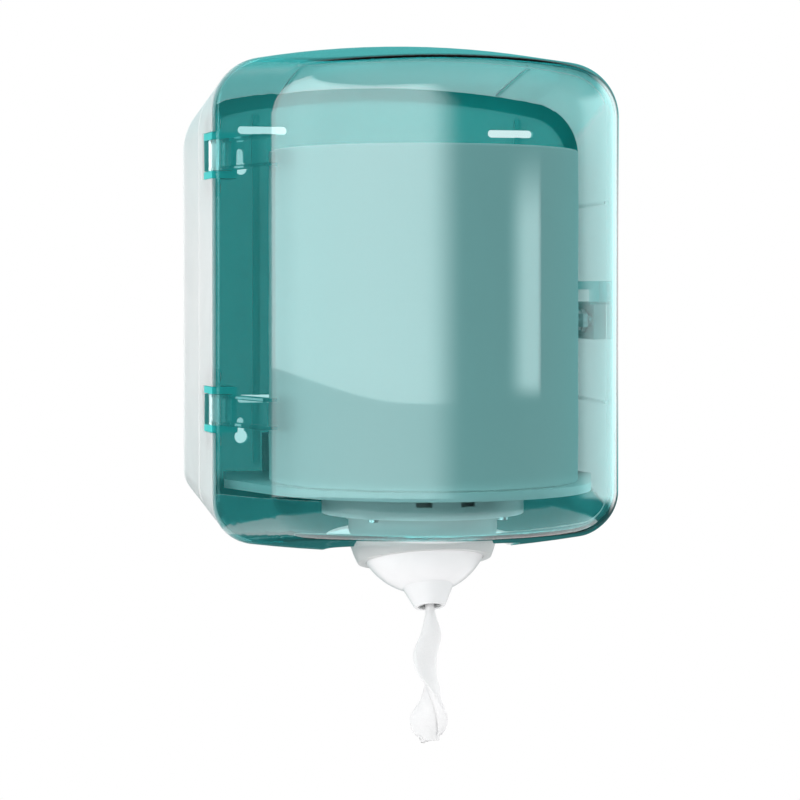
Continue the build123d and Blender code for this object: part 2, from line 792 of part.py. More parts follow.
# Nozzle housing: a drum under the tray whose floor carries the collar, with bosses and two windows
flange_underside = tray_underside - funnel_flange
with BuildPart() as nozzle_housing:
    with BuildSketch(Plane.XY.offset(housing_bottom)):
        with Locations((0, -nozzle_depth)):
            Circle(housing_radius)
            Circle(housing_radius - housing_wall, mode=Mode.SUBTRACT)
    extrude(amount=housing_height)
    with BuildSketch(Plane.XY.offset(housing_bottom)):
        with Locations((0, -nozzle_depth)):
            Circle(housing_radius)
            Circle(collar_neck_radius + collar_neck_clearance, mode=Mode.SUBTRACT)
    extrude(amount=housing_floor)
    for seat in housing_seats:
        with BuildSketch(Plane.XY.offset(housing_floor_top)):
            with Locations((seat.origin.X, seat.origin.Y)):
                Circle(housing_boss_radius)
        extrude(amount=flange_underside - housing_floor_top)
    with BuildSketch(Plane.XZ.offset(nozzle_depth)):
        for side in (-1, 1):
            with Locations((side * window_place, flange_underside - window_height)):
                Rectangle(window_width, window_height)
    extrude(amount=housing_radius + overrun, mode=Mode.SUBTRACT)
    cut_screw_holes(housing_seats, housing_screw_length)
save(nozzle_housing, "nozzle_housing")

with BuildPart() as housing_screws:
    add_screws(housing_seats, housing_screw_length)
save(housing_screws, "housing_screws")

# Paper funnel: a flange under the tray, a cone for the paper and a skirt that keeps the collar down
collar_flange_top = housing_floor_top + collar_flange_gap + collar_flange_thickness
funnel_bottom = tray_underside - funnel_drop
skirt_outer = collar_flange_radius - funnel_wall
with BuildPart() as paper_funnel:
    with BuildSketch(nozzle_plane):
        with BuildLine():
            Polyline(
                (tray_hole_radius, tray_underside),
                (housing_radius - housing_wall - funnel_seat_gap, tray_underside),
                (housing_radius - housing_wall - funnel_seat_gap, flange_underside),
                (skirt_outer, flange_underside),
                (skirt_outer, collar_flange_top + funnel_seat_gap),
                (skirt_outer - funnel_wall, collar_flange_top + funnel_seat_gap),
                (skirt_outer - funnel_wall, flange_underside),
                (tray_hole_radius + funnel_wall, flange_underside),
                (funnel_outlet_radius + funnel_wall, funnel_bottom),
                (funnel_outlet_radius, funnel_bottom),
                close=True,
            )
        make_face()
    revolve(axis=nozzle_axis)
    cut_screw_holes(housing_seats, housing_screw_length)
save(paper_funnel, "paper_funnel")

# Paper roll standing on the tray, with its core drawn out
with BuildPart() as paper_roll:
    with BuildSketch(Plane.XY.offset(tray_top)):
        with Locations((0, -roll_depth)):
            Circle(roll_radius)
            Circle(roll_bore_radius, mode=Mode.SUBTRACT)
    extrude(amount=roll_height)
    fillet(paper_roll.edges().filter_by(GeomType.CIRCLE).sort_by(SortBy.RADIUS)[-2:], roll_edge_radius)
save(paper_roll, "paper_roll")

# Paper strand drawn from the bore wall down through the funnel into the ball
feed_side = -(roll_bore_radius - feed_radius - funnel_seat_gap)
feed_sections = []
feed_places = [(ball_centre_height - feed_end, 0, nozzle_depth)]
for rise_share, side_share, way_share in feed_shares:
    feed_depth = roll_depth + way_share * (nozzle_depth - roll_depth)
    feed_places.insert(-1, (tray_top + rise_share * feed_rise, side_share * feed_side, feed_depth))
for height, side, depth in feed_places:
    with BuildSketch(Plane.XY.offset(height)) as feed_section:
        with Locations((side, -depth)):
            Circle(feed_radius)
    feed_sections.append(feed_section.sketch)
with BuildPart() as paper_feed:
    loft(feed_sections)
save(paper_feed, "paper_feed")


def on_sphere(radius, height):
    """The point of a sphere's half outline at a height over its centre."""
    return (sqrt(radius**2 - height**2), height)


# Nozzle collar: a flange on the housing floor, a neck and a round socket for the ball, cut off at a slant
socket_radius = ball_radius + ball_gap
socket_plane = Plane(origin=ball_centre, x_dir=nozzle_plane.x_dir, z_dir=nozzle_plane.z_dir)
neck_end = collar_neck_end - ball_centre_height
flange_low = housing_floor_top + collar_flange_gap - ball_centre_height
flange_high = collar_flange_top - ball_centre_height
collar_low = -collar_blank
collar_mid = (neck_end + collar_low) / 2
with BuildPart() as nozzle_collar:
    with BuildSketch(socket_plane):
        with BuildLine():
            Polyline(
                (socket_radius, 0),
                (socket_radius, flange_high),
                (collar_flange_radius, flange_high),
                (collar_flange_radius, flange_low),
                (collar_neck_radius, flange_low),
                (collar_neck_radius, neck_end),
                on_sphere(collar_radius, neck_end),
            )
            ThreePointArc(
                on_sphere(collar_radius, neck_end),
                on_sphere(collar_radius, collar_mid),
                on_sphere(collar_radius, collar_low),
            )
            Line(on_sphere(collar_radius, collar_low), on_sphere(socket_radius, collar_low))
            ThreePointArc(
                on_sphere(socket_radius, collar_low),
                on_sphere(socket_radius, collar_low / 2),
                (socket_radius, 0),
            )
        make_face()
    revolve(axis=nozzle_axis)
    split(bisect_by=Plane(origin=ball_centre - collar_up * collar_rim, z_dir=collar_up), keep=Keep.TOP)
save(nozzle_collar, "nozzle_collar")

# Nozzle ball: a bowl that tilts in the collar, with a hole for the outlet
ball_inner = ball_radius - ball_wall
ball_hole = outlet_spigot_radius + seat_gap
outer_low = -sqrt(ball_radius**2 - ball_hole**2)
inner_low = -sqrt(ball_inner**2 - ball_hole**2)
with BuildPart() as nozzle_ball:
    with BuildSketch(ball_plane):
        with BuildLine():
            ThreePointArc(
                on_sphere(ball_radius, ball_rim),
                on_sphere(ball_radius, (ball_rim + outer_low) / 2),
                on_sphere(ball_radius, outer_low),
            )
            Line(on_sphere(ball_radius, outer_low), on_sphere(ball_inner, inner_low))
            ThreePointArc(
                on_sphere(ball_inner, inner_low),
                on_sphere(ball_inner, (ball_rim + inner_low) / 2),
                on_sphere(ball_inner, ball_rim),
            )
            Line(on_sphere(ball_inner, ball_rim), on_sphere(ball_radius, ball_rim))
        make_face()
    revolve(axis=ball_axis)
save(nozzle_ball, "nozzle_ball")

# Nozzle outlet: a short cone seated on the ball, with a spigot in the ball's hole
seat_radius = ball_radius + seat_gap
seat_inner_low = -sqrt(seat_radius**2 - outlet_spigot_radius**2)
seat_outer_low = -sqrt(seat_radius**2 - outlet_top_radius**2)
spigot_top = inner_low + outlet_spigot_rise
with BuildPart() as nozzle_outlet:
    with BuildSketch(ball_plane):
        with BuildLine():
            Polyline(
                (outlet_spigot_radius - outlet_spigot_wall, spigot_top),
                (outlet_spigot_radius, spigot_top),
                on_sphere(seat_radius, seat_inner_low),
            )
            ThreePointArc(
                on_sphere(seat_radius, seat_inner_low),
                on_sphere(seat_radius, (seat_inner_low + seat_outer_low) / 2),
                on_sphere(seat_radius, seat_outer_low),
            )
            Polyline(
                on_sphere(seat_radius, seat_outer_low),
                (outlet_tip_radius, -outlet_tip),
                (outlet_bore_radius, -outlet_tip),
                (outlet_bore_radius, -outlet_tip + brake_inset + brake_length),
                (outlet_spigot_radius - outlet_spigot_wall, spigot_top),
            )
        make_face()
    revolve(axis=ball_axis)
save(nozzle_outlet, "nozzle_outlet")

# Paper brake: a toothed ring in the mouth of the outlet that grips the paper
brake_end = ball_centre - ball_up * (outlet_tip - brake_inset)
brake_plane = Plane(origin=brake_end, x_dir=(1, 0, 0), z_dir=ball_up)
brake_radius = outlet_bore_radius - seat_gap
with BuildPart() as paper_brake:
    with BuildSketch(brake_plane):
        Circle(brake_radius)
        Circle(brake_radius - brake_ring, mode=Mode.SUBTRACT)
        with PolarLocations(brake_radius - (brake_ring + brake_tooth_length) / 2, brake_tooth_count):
            Rectangle(brake_ring + brake_tooth_length - seat_gap, brake_tooth_width)
    extrude(amount=brake_length)
save(paper_brake, "paper_brake")


def tail_section(plane, width, thickness, turn):
    """One folded cross-section of the hanging paper: an outer arc and the valley of its fold."""
    with BuildSketch(plane.rotated((0, 0, turn))) as section:
        with BuildLine():
            ThreePointArc((-width / 2, -thickness / 2), (0, thickness / 2), (width / 2, -thickness / 2))
            ThreePointArc(
                (width / 2, -thickness / 2),
                (0, thickness * tail_valley_share - thickness / 2),
                (-width / 2, -thickness / 2),
            )
        make_face()
    return section.sketch


# Paper tail: a strip folded lengthwise that leaves the brake, hangs and turns over half round
tail_tip = ball_centre - ball_up * outlet_tip
tail_sections = []
for reach in (tail_start, outlet_tip):
    start_plane = Plane(origin=ball_centre - ball_up * reach, x_dir=(1, 0, 0), z_dir=ball_up)
    tail_sections.append(tail_section(start_plane, tail_neck, tail_neck_thickness, 0))
for drop_share, width_share, thickness_share, side_share, turn in tail_shares:
    hang_point = (side_share * tail_width, tail_tip.Y - tail_lean, tail_tip.Z - drop_share * tail_length)
    hang_plane = Plane(origin=hang_point, x_dir=(1, 0, 0), z_dir=(0, 0, 1))
    section_size = (width_share * tail_width, thickness_share * tail_thickness)
    tail_sections.append(tail_section(hang_plane, *section_size, turn))
with BuildPart() as paper_tail:
    loft(tail_sections)
save(paper_tail, "paper_tail")
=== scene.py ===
import math
from functools import reduce

import bpy
import numpy as np
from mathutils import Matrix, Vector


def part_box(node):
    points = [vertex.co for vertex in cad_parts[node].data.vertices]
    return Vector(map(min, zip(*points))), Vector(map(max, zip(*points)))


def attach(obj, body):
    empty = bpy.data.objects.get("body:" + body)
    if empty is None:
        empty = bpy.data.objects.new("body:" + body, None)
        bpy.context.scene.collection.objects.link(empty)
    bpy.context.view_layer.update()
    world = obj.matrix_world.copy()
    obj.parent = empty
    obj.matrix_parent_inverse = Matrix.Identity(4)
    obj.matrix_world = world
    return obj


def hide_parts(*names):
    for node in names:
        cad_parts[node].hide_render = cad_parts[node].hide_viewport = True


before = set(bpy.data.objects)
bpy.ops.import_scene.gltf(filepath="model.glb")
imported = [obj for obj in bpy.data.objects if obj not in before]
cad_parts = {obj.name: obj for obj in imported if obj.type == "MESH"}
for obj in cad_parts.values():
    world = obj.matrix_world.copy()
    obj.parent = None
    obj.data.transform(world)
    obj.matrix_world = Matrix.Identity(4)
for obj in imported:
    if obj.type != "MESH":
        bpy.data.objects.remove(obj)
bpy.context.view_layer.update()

bl_info = {
    "name": "Centre-feed paper dispenser",
    "version": (1, 0, 0),
    "blender": (4, 5, 0),
    "location": "3D View > Sidebar > Dispenser",
    "description": "Dresses the dispenser's solids with mouldings, clear plastic, steel and paper",
    "category": "Object",
}

MM = 0.001
WHITE = (1.0, 1.0, 1.0, 1.0)

# Nodes that share a finish
CASE_NODES = ("lock_case", "roll_tray", "nozzle_housing", "paper_funnel")
SHELL_NODES = ("rear_shell",)
PLATE_NODES = ("back_plate", "hinge_bracket_upper", "hinge_bracket_lower")
COVER_NODES = ("cover_shell", "cover_strike")
ARM_NODES = ("hinge_arm_upper", "hinge_arm_lower")
COLLAR_NODES = ("nozzle_collar",)
BALL_NODES = ("nozzle_ball", "nozzle_outlet")
BRAKE_NODES = ("paper_brake",)
SCREW_NODES = ("bracket_screws", "lock_screws", "tray_screws", "housing_screws", "cam_screw", "hinge_pins")
LOCK_NODES = ("lock_barrel", "lock_cam")

# How far light spreads inside milky mouldings
MILKY_DEPTH = 45 * MM
# Clear plastic: what its thin wall bends and what its face reflects, its polish, and how fast it tints with depth
WALL_IOR = 1.06
FACE_IOR = 1.49
POLISH = 0.012
COVER_DENSITY = 130.0
ARM_DENSITY = 45.0
# Gloss of paper, as a share of plastic's
PAPER_SHINE = 0.15

# The roll's axis and faces, in metres, from its solid
ROLL_LOW, ROLL_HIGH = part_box("paper_roll")
ROLL_X = (ROLL_LOW.x + ROLL_HIGH.x) / 2
ROLL_Y = (ROLL_LOW.y + ROLL_HIGH.y) / 2
ROLL_RADIUS = (ROLL_HIGH.x - ROLL_LOW.x) / 2
# Its bore, the round of its edges, the swell of its side and the step of its last wrap, in millimetres
ROLL_BORE = 20.0
ROLL_EDGE = 1.5
ROLL_SWELL = 0.12
ROLL_STEP = 0.35
# Its grid: columns round it, rows up the bore, over the top, round an edge and down the side, and how many rows over
# the top there are for each one underneath
ROLL_COLUMNS = 240
BORE_ROWS, TOP_ROWS, EDGE_ROWS, SIDE_ROWS = 30, 150, 6, 70
TOP_TO_UNDER = 3
# Two lengths closer than this are the same, in millimetres
NEAR = 0.01

# Rows down the hanging paper, in millimetres: x, y, z, width, thickness, then its turn in degrees
TAIL_ROWS = np.array((
    (0.0, -111.5, -166.4, 5.2, 3.4, 0),
    (0.0, -116.4, -178.4, 5.4, 3.6, 0),
    (0.0, -118.4, -184.0, 7.1, 4.8, 5),
    (0.0, -119.0, -194.4, 13.3, 6.0, 12),
    (-2.4, -119.0, -204.8, 17.0, 6.8, 25),
    (-2.0, -119.0, -215.2, 17.0, 7.6, 55),
    (0.0, -119.0, -224.0, 16.2, 8.0, 85),
    (0.5, -119.0, -232.8, 16.2, 8.0, 120),
    (-1.7, -119.0, -243.2, 21.3, 6.8, 160),
    (-1.4, -119.0, -252.8, 18.5, 6.0, 178),
    (-0.9, -119.0, -258.2, 14.5, 5.0, 185),
))
# Rows down the strand that leaves the roll, in the same order
FEED_ROWS = np.array((
    (-15.2, -102.0, -43.0, 8.8, 8.8, 0),
    (-10.9, -102.0, -74.0, 8.8, 8.8, 50),
    (-3.8, -100.0, -105.0, 8.8, 8.8, 110),
    (-1.2, -98.8, -126.0, 8.6, 8.6, 150),
    (0.0, -98.0, -144.0, 8.0, 8.0, 180),
))
# Rows and columns of a strand's grid, and where round its section the sheet starts
STRAND_GRID = (64, 360)
SHEET_START = 0.62 * np.pi
# Hanging paper comes loose from this share of its length, over this share. It then takes up more sheet in each turn,
# and its outer edge stands off over this share of a turn.
LOOSE_FROM, LOOSE_OVER = 0.2, 0.2
LOOSE_SLACK = 0.2
FLAP_TURN = 0.2

SENSOR_WIDTH = 36.0
# Lamps: name, place, aim, size, and the setting that holds the power
LAMPS = (
    ("softbox", (0.6, -2.6, 0.0), (0.0, 0.0, 0.0), (1.4, 0.72), "key"),
    ("left_panel", (-1.5, -0.8, 0.02), (0.0, 0.0, 0.02), (2.8, 0.56), "left"),
    ("top_panel", (0.0, -0.1, 1.4), (0.0, -0.1, 0.0), (1.0, 0.6), "top"),
    ("right_panel", (1.5, 0.35, 0.1), (0.0, 0.0, 0.05), (1.6, 1.0), "right"),
)
FLOOR_HEIGHT = -0.95
FLOOR_REACH = 1.2
FLOOR_GREY = (0.8, 0.8, 0.8, 1.0)

# What gloss sees of the room. A pair is where an edge fades from nothing to full, and two more numbers are the levels
# that it fades between. Angles are in radians, round the room from straight ahead of the part to its left, or up.
BOX_SIDES = ((-0.235, -0.06), (2.33, 2.29))
BOX_HEIGHTS = ((0.92, 0.88), (-0.13, -0.1))
BOX_FALL = (1.5, 2.3, 1.0, 0.6)
BOX_STEP = (-0.23, 2.6, -0.0452, -0.0304)
STEP_BLUR = (-0.0006, 0.0006)
STRIP_SIDES = ((-0.58, -0.50), (-0.39, -0.49))
STRIP_HEIGHTS = ((0.06, 0.025), (-0.045, -0.035))
PANEL_SIDES = ((-1.2, -1.5), (-2.6, -2.4))
PANEL_HEIGHTS = ((0.5, 0.3), (-0.3, -0.15))
# The backdrop, by how far a direction points back, and how it dims over and under the part
BACKDROP = (0.78, 0.88)
BACKDROP_OVER = (0.12, 0.06, 0.7, 1.0)
BACKDROP_UNDER = (-0.12, -0.06, 0.2, 1.0)
# The coloured card: on the backdrop away from the horizon, overhead, and between the softbox and the backdrop
CARD_FROM_HORIZON = (0.02, 0.08)
OVERHEAD = (0.86, 0.92)
OVERHEAD_LEVEL = 0.6
FLANK = (2.3, 2.35)
FLANK_LEVEL = 0.38
# The dark of the room ahead and behind the softbox
ROOM_DARK = (0.02, 0.12)
# The horizon of the light on matt surfaces, and where clear plastic shows white, by how far a direction points up: all
# but a dark band a little under the horizon
HORIZON = (-0.06, -0.02)
WHITE_OVER, WHITE_UNDER = (-0.09, -0.075), (-0.112, -0.122)


def colour(label, words, default):
    """A colour that a user may change."""
    return bpy.props.FloatVectorProperty(
        name=label, description=words, default=default, size=3, min=0, max=1, subtype="COLOR"
    )


def number(label, words, default, **options):
    """A number that a user may change."""
    return bpy.props.FloatProperty(name=label, description=words, default=default, **options)


def length(label, words, default):
    """A length in metres that a user may change."""
    return number(label, words, default, min=0, unit="LENGTH")


def angle(label, words, degrees):
    """An angle that a user may change."""
    return number(label, words, math.radians(degrees), subtype="ANGLE")


def power(label, words, default):
    """A lamp's power in watts that a user may change."""
    return number(label, words, default, min=0, unit="POWER")


def level(label, words, default):
    """A brightness that a user may change."""
    return number(label, words, default, min=0)


class DispenserColours(bpy.types.PropertyGroup):
    """Colours of the mouldings, the paper and the metal."""

    case: colour("Case", "White mouldings of the case", (0.92, 0.92, 0.92))
    plate: colour("Back plate", "Turquoise plate on the wall", (0.03, 0.62, 0.60))
    roof: colour("Roof", "Turquoise on the case roof, inside", (0.32, 0.90, 0.87))
    # Painted shade: the floor colour darkens the inside of the case floor to stand for the shade under the tray.
    floor: colour("Floor", "Turquoise on the case floor, inside", (0.006, 0.09, 0.09))
    cover: colour("Cover", "What clear plastic keeps of each colour: 1 less its absorption", (0.08, 0.81, 0.815))
    arms: colour("Hinge arms", "The same for the cover's hinge arms", (0.05, 0.56, 0.565))
    film: colour("Film", "Tint of lamp light at each face of the clear plastic", (0.608, 0.667, 0.667))
    collar: colour("Collar", "Light grey collar", (0.60, 0.61, 0.61))
    ball: colour("Ball", "White ball and outlet", (0.88, 0.88, 0.89))
    brake: colour("Brake", "Toothed ring in the outlet", (0.42, 0.43, 0.43))
    paper: colour("Paper", "Paper towel on the roll", (0.78, 0.78, 0.775))
    strand: colour("Strand", "Paper towel, gathered", (0.80, 0.80, 0.805))
    steel: colour("Steel", "Screws, pins and lock", (0.56, 0.56, 0.57))


class DispenserPaper(bpy.types.PropertyGroup):
    """Sizes of the paper."""

    width: length("Sheet width", "Width of the flat sheet, which is the roll's height", 194.5 * MM)
    thickness: length("Sheet thickness", "Thickness of the sheet", 0.07 * MM)
    ripple: length("Wound ripple", "Unevenness of the wound edges on the roll's top", 0.35 * MM)
    ragged: length("Torn edge", "Depth of the torn end of the hanging paper", 6.5 * MM)
    core: number(
        "Inner turn", "Size of the innermost fold as a share of the outermost", 0.25,
        min=0.05, max=0.9, subtype="FACTOR",
    )
    flap: number(
        "Loose edge", "How far the hanging paper's outer edge stands off, as a share of its half width", 0.3,
        min=0, max=0.6, subtype="FACTOR",
    )


class DispenserStage(bpy.types.PropertyGroup):
    """Camera and light."""

    lens: number("Lens", "Focal length in mm", 112.5, min=1, unit="CAMERA")
    place: bpy.props.FloatVectorProperty(
        name="Camera", description="Place of the camera", default=(-0.347, -1.5415, 0.007), size=3,
        subtype="XYZ", unit="LENGTH",
    )
    yaw: angle("Yaw", "Turn to the right", 13)
    pitch: angle("Pitch", "Look down", 1.03)
    shift: number("Shift", "Camera shift upwards", -0.08)
    key: power("Softbox", "Power of the softbox in W", 14.1)
    left: power("Left panel", "Power of the left panel in W", 17.4)
    right: power("Right panel", "Power of the right panel in W", 16.0)
    top: power("Top panel", "Power of the top panel in W", 7.5)
    box: level("Softbox shown", "Softbox as gloss sees it", 4.8)
    low: level("Its lower part", "The same under its step", 2.6)
    side: level("Right panel shown", "Right panel as gloss sees it", 2.0)
    strip: level("Strip shown", "Strip at the right as gloss sees it", 4.0)
    card: colour("Card", "Card behind, over and beside the part, as gloss sees it", (0.12, 0.62, 0.62))
    sky: level("Upper room", "Light from above the horizon", 0.95)
    ground: level("Lower room", "Light from below the horizon", 0.15)


def settings(name):
    """One of this file's property groups on the scene."""
    return getattr(bpy.context.scene, name)


# Node helpers


def node(tree, kind, inputs=None, **options):
    """Adds a shader node, sets its options, then links or sets its inputs by name or number."""
    new = tree.nodes.new(kind)
    for key, value in options.items():
        setattr(new, key, value)
    for key, value in (inputs or {}).items():
        socket = new.inputs[key]
        if isinstance(value, bpy.types.NodeSocket):
            tree.links.new(value, socket)
        else:
            socket.default_value = value
    return new


def calc(tree, operation, first, second=0.0):
    """The result of a Math node."""
    return node(tree, "ShaderNodeMath", {0: first, 1: second}, operation=operation).outputs[0]


def fold(tree, operation, *values):
    """Several values put together by one operation."""
    return reduce(lambda first, second: calc(tree, operation, first, second), values)


def less(tree, share):
    """What is left of one after a share."""
    return calc(tree, "SUBTRACT", 1.0, share)


def choose(tree, share, first, second):
    """The first value where the share is zero, the second where it is one."""
    kept = calc(tree, "MULTIPLY", first, less(tree, share))
    return calc(tree, "ADD", kept, calc(tree, "MULTIPLY", second, share))


def ranged(tree, value, low, high, to_low=0.0, to_high=1.0):
    """A value carried smoothly from one range to another."""
    inputs = {"Value": value, "From Min": low, "From Max": high, "To Min": to_low, "To Max": to_high}
    return node(tree, "ShaderNodeMapRange", inputs, interpolation_type="SMOOTHSTEP").outputs[0]


def mixed(tree, share, first, second, blend="MIX"):
    """A colour between two others."""
    inputs = {"Factor": share, "A": first, "B": second}
    return node(tree, "ShaderNodeMix", inputs, data_type="RGBA", blend_type=blend).outputs["Result"]


def shaded(tree, tint, dark, share):
    """A colour that falls towards a darker share of itself."""
    return mixed(tree, share, tint, (dark, dark, dark, 1), "MULTIPLY")


def rgba(tint):
    """A colour with full alpha."""
    return (*tint, 1.0)


RESULTS = {"Colour": "NodeSocketColor", "Roughness": "NodeSocketFloat", "Height": "NodeSocketFloat"}


def shader_group(name, inputs, results=tuple(RESULTS)):
    """A node group with named inputs and results."""
    tree = bpy.data.node_groups.new(name, "ShaderNodeTree")
    for label, kind, default in inputs:
        socket = tree.interface.new_socket(label, in_out="INPUT", socket_type=kind)
        socket.default_value = default
    for label in results:
        tree.interface.new_socket(label, in_out="OUTPUT", socket_type=RESULTS[label])
    return tree, tree.nodes.new("NodeGroupInput").outputs, tree.nodes.new("NodeGroupOutput")


def put_out(tree, end, **outputs):
    """Links a group's results."""
    for label, socket in outputs.items():
        tree.links.new(socket, end.inputs[label])


def make_moulded_group():
    """Moulded plastic: a fine spark-eroded grain over broad sink and flow marks, in Object coordinates."""
    tree, given, end = shader_group("moulded_grain", (
        ("Colour", "NodeSocketColor", (0.8, 0.8, 0.8, 1)),
        ("Grain", "NodeSocketFloat", 1600.0),
        ("Roughness", "NodeSocketFloat", 0.4),
        ("Spread", "NodeSocketFloat", 0.12),
    ))
    coords = node(tree, "ShaderNodeTexCoord").outputs["Object"]
    fine = node(tree, "ShaderNodeTexNoise", {"Vector": coords, "Scale": given["Grain"], "Detail": 2.0})
    flow = node(tree, "ShaderNodeTexNoise", {"Vector": coords, "Scale": 22.0, "Detail": 4.0, "Distortion": 0.6})
    swing = fold(tree, "ADD", *(calc(tree, "SUBTRACT", noise.outputs[0], 0.5) for noise in (fine, flow)))
    rough = calc(tree, "ADD", given["Roughness"], calc(tree, "MULTIPLY", swing, given["Spread"]))
    height = calc(tree, "ADD", fine.outputs[0], calc(tree, "MULTIPLY", flow.outputs[0], 3.0))
    tone = ranged(tree, flow.outputs[0], 0.35, 0.7)
    put_out(tree, end, Colour=shaded(tree, given["Colour"], 0.955, tone), Roughness=rough, Height=height)
    return tree


def make_lining_group():
    """A colour that changes on faces that look up, low in a shell, where the floor colour is painted shade, and on
    faces that look down, high in it, where the roof colour tints them.
    """
    tree, given, end = shader_group("lining", (
        ("Colour", "NodeSocketColor", (0.8, 0.8, 0.8, 1)),
        ("Floor", "NodeSocketColor", (0.2, 0.6, 0.6, 1)),
        ("Roof", "NodeSocketColor", (0.4, 0.8, 0.8, 1)),
        ("Reach", "NodeSocketFloat", 100 * MM),
    ), ("Colour",))
    spot = node(tree, "ShaderNodeTexCoord").outputs["Object"]
    normal = node(tree, "ShaderNodeNewGeometry").outputs["Normal"]
    height, facing = (node(tree, "ShaderNodeSeparateXYZ", {0: way}).outputs["Z"] for way in (spot, normal))
    tint = given["Colour"]
    # The floor colour paints shade on upward faces low in the shell; the roof colour tints downward faces high in it
    for label, side in (("Floor", -1.0), ("Roof", 1.0)):
        there = calc(tree, "GREATER_THAN", calc(tree, "MULTIPLY", height, side), given["Reach"])
        looks = ranged(tree, calc(tree, "MULTIPLY", facing, -side), 0.25, 0.4)
        tint = mixed(tree, calc(tree, "MULTIPLY", there, looks), tint, given[label])
    put_out(tree, end, Colour=tint)
    return tree


def make_tissue_group():
    """Paper towel: embossed dots, soft crinkles and fibres, on the piece's own UV map in metres."""
    tree, given, end = shader_group("tissue", (
        ("Colour", "NodeSocketColor", (0.9, 0.9, 0.9, 1)),
        ("Dots", "NodeSocketFloat", 260.0),
        ("Crinkle", "NodeSocketFloat", 90.0),
        ("Emboss", "NodeSocketFloat", 1.0),
    ))
    coords = node(tree, "ShaderNodeTexCoord").outputs["UV"]
    dots = node(
        tree, "ShaderNodeTexVoronoi", {"Vector": coords, "Scale": given["Dots"], "Randomness": 0.12},
        feature="SMOOTH_F1",
    )
    crinkle = node(
        tree, "ShaderNodeTexNoise",
        {"Vector": coords, "Scale": given["Crinkle"], "Detail": 5.0, "Roughness": 0.62, "Distortion": 0.8},
    )
    stretch = node(tree, "ShaderNodeMapping", {"Vector": coords, "Scale": (5200.0, 900.0, 1.0)})
    fibres = node(tree, "ShaderNodeTexNoise", {"Vector": stretch.outputs[0], "Scale": 1.0, "Detail": 3.0})
    pit = calc(tree, "MULTIPLY", ranged(tree, dots.outputs["Distance"], 0.12, 0.42), given["Emboss"])
    soft = calc(tree, "MULTIPLY", crinkle.outputs[0], 3.2)
    height = fold(tree, "ADD", pit, soft, calc(tree, "MULTIPLY", fibres.outputs[0], 0.35))
    tone = ranged(tree, fibres.outputs[0], 0.42, 0.78)
    rough = ranged(tree, crinkle.outputs[0], 0.2, 0.8, 0.82, 0.97)
    put_out(tree, end, Colour=shaded(tree, given["Colour"], 0.94, tone), Roughness=rough, Height=height)
    return tree


def make_wound_group():
    """Wound paper ends: rings of sheet edges round the roll's axis, in Object coordinates."""
    tree, given, end = shader_group("wound_edges", (
        ("Colour", "NodeSocketColor", (0.9, 0.9, 0.9, 1)),
        ("Pitch", "NodeSocketFloat", 0.7 * MM),
    ))
    coords = node(tree, "ShaderNodeTexCoord").outputs["Object"]
    centred = node(tree, "ShaderNodeMapping", {"Vector": coords, "Location": (-ROLL_X, -ROLL_Y, 0.0)})
    flat = node(tree, "ShaderNodeVectorMath", {0: centred.outputs[0], 1: (1.0, 1.0, 0.0)}, operation="MULTIPLY")
    reach = node(tree, "ShaderNodeVectorMath", {0: flat.outputs[0]}, operation="LENGTH").outputs["Value"]
    drift = node(tree, "ShaderNodeTexNoise", {"Vector": centred.outputs[0], "Scale": 30.0, "Detail": 2.0})
    wander = calc(tree, "MULTIPLY", drift.outputs[0], 5.0)
    rings = calc(tree, "ADD", calc(tree, "DIVIDE", reach, given["Pitch"]), wander)
    wave = calc(tree, "SINE", calc(tree, "MULTIPLY", rings, math.tau))
    bands = node(
        tree, "ShaderNodeTexNoise", {"W": rings, "Scale": 0.45, "Detail": 3.0}, noise_dimensions="1D"
    ).outputs[0]
    height = calc(tree, "ADD", calc(tree, "MULTIPLY", wave, 0.5), calc(tree, "MULTIPLY", bands, 2.0))
    tone = ranged(tree, bands, 0.45, 0.75)
    rough = ranged(tree, bands, 0.2, 0.8, 0.85, 0.98)
    put_out(tree, end, Colour=shaded(tree, given["Colour"], 0.86, tone), Roughness=rough, Height=height)
    return tree


def make_brushed_group():
    """Brushed steel: long fine scratches along Z and cloudy tarnish, in Object coordinates."""
    tree, given, end = shader_group("brushed", (
        ("Colour", "NodeSocketColor", (0.6, 0.6, 0.6, 1)),
        ("Roughness", "NodeSocketFloat", 0.32),
    ))
    coords = node(tree, "ShaderNodeTexCoord").outputs["Object"]
    stretch = node(tree, "ShaderNodeMapping", {"Vector": coords, "Scale": (5200.0, 5200.0, 260.0)})
    lines = node(tree, "ShaderNodeTexNoise", {"Vector": stretch.outputs[0], "Scale": 1.0, "Detail": 3.0}).outputs[0]
    cloud = node(tree, "ShaderNodeTexNoise", {"Vector": coords, "Scale": 320.0, "Detail": 4.0})
    swing = calc(tree, "MULTIPLY", calc(tree, "SUBTRACT", lines, 0.5), 0.3)
    rough = calc(tree, "ADD", given["Roughness"], swing)
    tone = ranged(tree, cloud.outputs[0], 0.4, 0.75)
    put_out(tree, end, Colour=shaded(tree, given["Colour"], 0.8, tone), Roughness=rough, Height=lines)
    return tree


def make_clear_group():
    """Clear plastic: faint polishing haze and wipe marks in its roughness, in Object coordinates."""
    tree, given, end = shader_group("clear_haze", (("Roughness", "NodeSocketFloat", 0.02),), ("Roughness",))
    coords = node(tree, "ShaderNodeTexCoord").outputs["Object"]
    cloud = node(tree, "ShaderNodeTexNoise", {"Vector": coords, "Scale": 26.0, "Detail": 5.0, "Distortion": 1.2})
    haze = ranged(tree, cloud.outputs[0], 0.45, 0.8, 0.0, 0.02)
    put_out(tree, end, Roughness=calc(tree, "ADD", given["Roughness"], haze))
    return tree


GROUPS = {
    "moulded_grain": make_moulded_group,
    "lining": make_lining_group,
    "tissue": make_tissue_group,
    "wound_edges": make_wound_group,
    "brushed": make_brushed_group,
    "clear_haze": make_clear_group,
}


